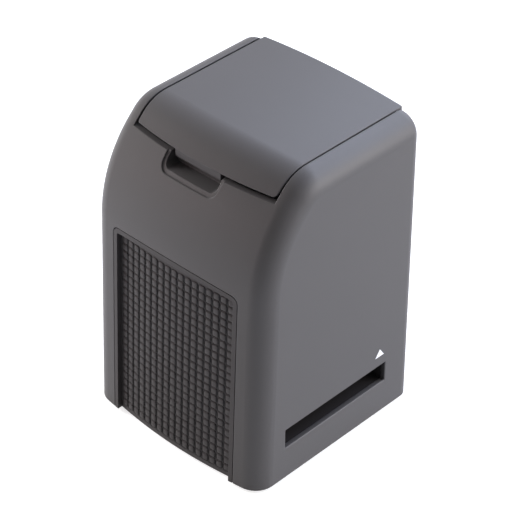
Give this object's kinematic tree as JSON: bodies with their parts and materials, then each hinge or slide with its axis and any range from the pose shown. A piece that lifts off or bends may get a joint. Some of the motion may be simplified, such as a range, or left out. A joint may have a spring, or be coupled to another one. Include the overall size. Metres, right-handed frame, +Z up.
{
  "type": "film negative scanner",
  "caption": "Upright desktop film negative scanner with a film slot through its sides, a nubbed front grip panel and a hinged lid over its keys and display.",
  "frame": {"origin": "on the table under the middle of the whole, at the feet's treads", "axes": "+X to the object's right seen from its front, +Y to its back, +Z up"},
  "size_m": [0.0966, 0.097, 0.1474],
  "materials": {
    "case_plastic": "satin moulded anthracite",
    "lid_plastic": "satin moulded anthracite",
    "grip_plastic": "matte moulded black",
    "base_plastic": "matte moulded black",
    "inner_plastic": "matt black, light-tight",
    "deck_plastic": "satin moulded black",
    "key_plastic": "satin grey keycaps",
    "white_plastic": "white reflector plastic",
    "diffuser_acrylic": "opal acrylic",
    "foot_rubber": "matte",
    "screw_steel": "zinc plated",
    "pin_steel": "ground",
    "socket_steel": "nickel plated",
    "circuit_board": "green solder resist",
    "chip_resin": "moulded resin",
    "lamp_resin": "clear resin",
    "lens_glass": "coated",
    "barrel_metal": "black anodised",
    "sensor_glass": "glossy",
    "display_glass": "polished",
    "display_steel": "stamped frame",
    "ribbon_film": "polyimide film",
    "washer_nylon": "natural nylon",
    "jack_resin": "moulded"
  },
  "bodies": {
    "housing": {"outer_shell": "case_plastic", "grip_panel": "grip_plastic", "base_plate": "base_plastic", "foot_front_left": "foot_rubber", "foot_front_right": "foot_rubber", "foot_back_left": "foot_rubber", "foot_back_right": "foot_rubber", "base_screws": "screw_steel", "rear_cover": "case_plastic", "light_box": "white_plastic", "backlight_board": "circuit_board", "backlight_lamps": "lamp_resin", "diffuser": "diffuser_acrylic", "film_guide_lower": "inner_plastic", "film_guide_upper": "inner_plastic", "optics_tower": "inner_plastic", "lens_mount": "inner_plastic", "sensor_board": "circuit_board", "image_sensor": "sensor_glass", "sensor_screws": "screw_steel", "lens_barrel": "barrel_metal", "lens_lower": "lens_glass", "lens_upper": "lens_glass", "main_board": "circuit_board", "board_screws": "screw_steel", "board_chips": "chip_resin", "card_socket": "socket_steel", "usb_socket": "socket_steel", "video_jack": "jack_resin", "display_ribbon": "ribbon_film", "deck_panel": "deck_plastic", "deck_screws": "screw_steel", "key_board": "circuit_board", "key_switches": "chip_resin", "key_screws": "screw_steel", "hinge_washer_right": "washer_nylon", "hinge_washer_left": "washer_nylon"},
    "lid": {"lid_cover": "lid_plastic", "lid_bezel": "deck_plastic", "bezel_screws": "screw_steel", "display_window": "display_glass", "display_panel": "display_steel", "display_driver": "circuit_board", "hinge_pin_left": "pin_steel", "hinge_pin_right": "pin_steel"},
    "left_key": {"left_key": "key_plastic"},
    "ok_key": {"ok_key": "key_plastic"},
    "right_key": {"right_key": "key_plastic"},
    "power_key": {"power_key": "key_plastic"},
    "scan_key": {"scan_key": "key_plastic"},
    "mode_key": {"mode_key": "key_plastic"}
  },
  "joints": [
    {"name": "lid_hinge", "type": "hinge", "parent": "housing", "child": "lid", "pos_m": [0, 0.0422, 0.1417], "axis": [-1, 0, 0], "range_deg": [0, 105]},
    {"name": "left_key_press", "type": "slide", "parent": "housing", "child": "left_key", "axis": [0, 0, -1], "range_m": [0, 0.0006], "stiffness_N_per_m": 500, "springref_m": -0.001},
    {"name": "ok_key_press", "type": "slide", "parent": "housing", "child": "ok_key", "axis": [0, 0, -1], "range_m": [0, 0.0006], "stiffness_N_per_m": 500, "springref_m": -0.001},
    {"name": "right_key_press", "type": "slide", "parent": "housing", "child": "right_key", "axis": [0, 0, -1], "range_m": [0, 0.0006], "stiffness_N_per_m": 500, "springref_m": -0.001},
    {"name": "power_key_press", "type": "slide", "parent": "housing", "child": "power_key", "axis": [0, 0, -1], "range_m": [0, 0.0006], "stiffness_N_per_m": 500, "springref_m": -0.001},
    {"name": "scan_key_press", "type": "slide", "parent": "housing", "child": "scan_key", "axis": [0, 0, -1], "range_m": [0, 0.0006], "stiffness_N_per_m": 500, "springref_m": -0.001},
    {"name": "mode_key_press", "type": "slide", "parent": "housing", "child": "mode_key", "axis": [0, 0, -1], "range_m": [0, 0.0006], "stiffness_N_per_m": 500, "springref_m": -0.001}
  ]
}
